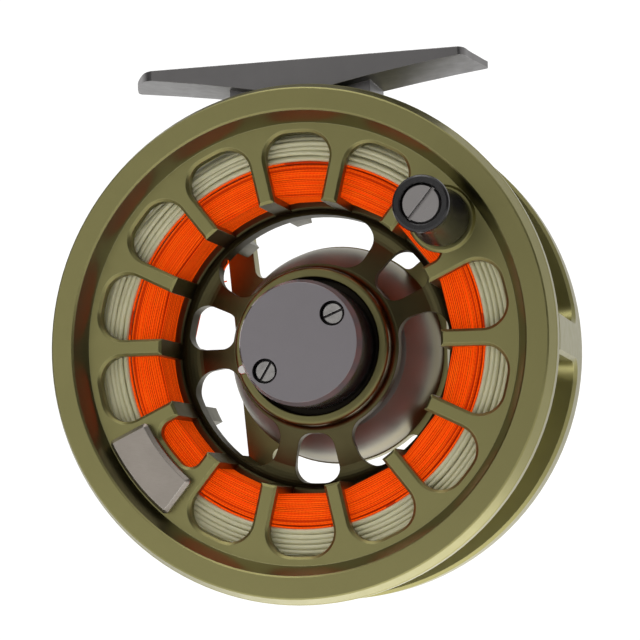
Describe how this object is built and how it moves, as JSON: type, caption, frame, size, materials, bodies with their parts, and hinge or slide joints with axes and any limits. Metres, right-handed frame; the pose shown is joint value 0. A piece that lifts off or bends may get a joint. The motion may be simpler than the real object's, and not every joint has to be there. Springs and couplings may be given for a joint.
{
  "type": "fly reel",
  "caption": "Fly fishing reel: ported spool of backing and line on a sealed disc drag, side crank handle with counterweight, slotted frame and a foot for the rod's reel seat.",
  "frame": {"origin": "centre of the flat seating face on top of the reel foot", "axes": "+Z out of the seating face towards the rod; +X along the foot and the rod; +Y along the spindle, away from the crank handle"},
  "size_m": [0.09, 0.0563, 0.095],
  "materials": {
    "olive_anodised": "matt hard-anodised olive green with a fine machined grain",
    "housing_anodised": "satin anodised grey-olive turned bell",
    "gunmetal_anodised": "matt gunmetal grey anodised",
    "cap_anodised": "satin dark grey anodised",
    "hub_aluminium": "turned bare aluminium",
    "steel": "plain stainless steel",
    "polished_steel": "bright polished steel",
    "brushed_steel": "brushed face, polished bevels",
    "satin_screw": "satin bead-blasted steel",
    "brass": "bronze-brown brass",
    "carbon": "woven carbon drag washer",
    "seal_rubber": "matt nitrile rubber",
    "black_plastic": "matt acetal",
    "black_handle": "satin black",
    "orange_backing": "braided polyester backing, bright orange",
    "pale_line": "smooth coated fly line, pale sage"
  },
  "bodies": {
    "frame": {"frame": "olive_anodised", "reel_foot": "gunmetal_anodised", "foot_screw_left": "steel", "foot_screw_right": "steel", "drag_housing": "housing_anodised", "housing_screw_a": "steel", "housing_screw_b": "steel", "housing_screw_c": "steel", "housing_seal": "seal_rubber", "spindle": "steel", "steel_disc": "steel", "pawl_pin": "steel", "pawl_spring": "steel", "knob_screw": "gunmetal_anodised"},
    "drag_rotor": {"drag_hub": "hub_aluminium", "hub_bearing": "steel", "one_way_clutch": "steel", "click_gear": "brass", "carbon_disc_front": "carbon"},
    "pressure_plate_set": {"pressure_plate": "hub_aluminium", "carbon_disc_rear": "carbon", "drag_spring": "steel", "thrust_ring": "steel"},
    "click_pawl_lever": {"click_pawl": "steel"},
    "drag_knob_turning": {"drag_knob": "gunmetal_anodised"},
    "spool_set": {"spool": "olive_anodised", "spool_bushing": "brass", "detent_retainer": "black_plastic", "detent_ring": "steel", "hub_cap": "cap_anodised", "cap_screw_a": "polished_steel", "cap_screw_b": "polished_steel", "hub_pin": "polished_steel", "counterweight": "brushed_steel", "counterweight_screw_a": "steel", "counterweight_screw_b": "steel", "backing": "orange_backing", "fly_line": "pale_line", "handle_post": "steel", "handle_screw": "satin_screw"},
    "handle_set": {"handle_knob": "black_handle", "handle_bushing": "brass"}
  },
  "joints": [
    {"name": "drag_rotation", "type": "hinge", "parent": "frame", "child": "drag_rotor", "pos_m": [0, 0.0075, -0.05], "axis": [0, -1, 0], "continuous": true},
    {"name": "spool_release", "type": "slide", "parent": "drag_rotor", "child": "spool_set", "axis": [0, -1, 0], "range_m": [0, 0.04]},
    {"name": "handle_spin", "type": "hinge", "parent": "spool_set", "child": "handle_set", "pos_m": [0.02576, -0.0175, -0.03002], "axis": [0, -1, 0], "continuous": true},
    {"name": "drag_adjust", "type": "hinge", "parent": "frame", "child": "drag_knob_turning", "pos_m": [0, 0.0255, -0.05], "axis": [0, 1, 0], "range_deg": [0, 240]},
    {"name": "plate_press", "type": "slide", "parent": "frame", "child": "pressure_plate_set", "axis": [0, 1, 0], "range_m": [0, 0.0003]},
    {"name": "click_lift", "type": "hinge", "parent": "frame", "child": "click_pawl_lever", "pos_m": [-0.00229, 0.0129, -0.037], "axis": [0, -1, 0], "range_deg": [0, 12], "stiffness_Nm_per_rad": 0.002}
  ],
  "couplings": [
    {"joint": "plate_press", "follows": "drag_adjust", "m_per_rad": 0.0000715}
  ]
}
